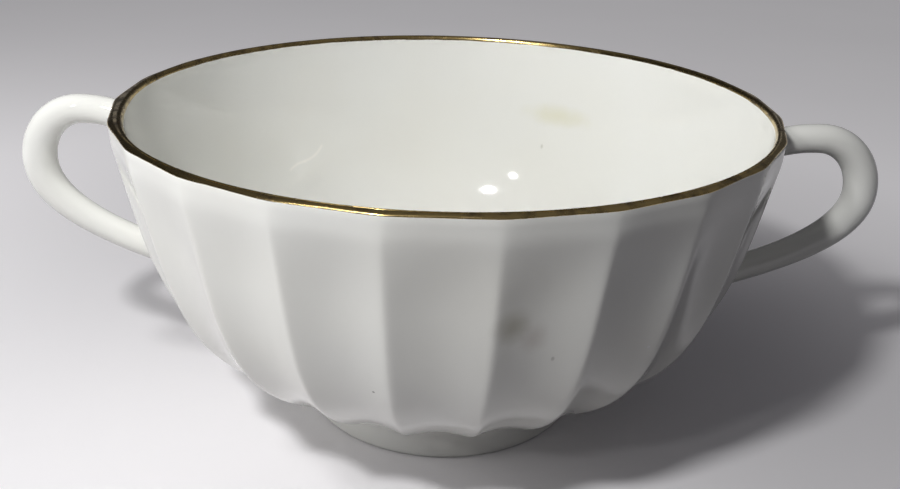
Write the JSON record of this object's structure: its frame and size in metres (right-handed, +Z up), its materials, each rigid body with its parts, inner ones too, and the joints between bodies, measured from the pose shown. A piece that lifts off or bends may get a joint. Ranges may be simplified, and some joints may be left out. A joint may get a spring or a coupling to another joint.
{
  "type": "footed cream soup bowl",
  "caption": "Fluted round soup bowl of white glazed china on a low turned foot, with a looped ear handle at each end and a gilded lip.",
  "frame": {"origin": "on the table, in the middle of the foot", "axes": "+Z up; the two handles lie along X; -Y faces the viewer"},
  "size_m": [0.1601, 0.1166, 0.0598],
  "materials": {
    "china": "glossy clear glaze over cream-white china, with worn gilding on the lip"
  },
  "bodies": {
    "root": {"bowl": "china"}
  },
  "joints": []
}
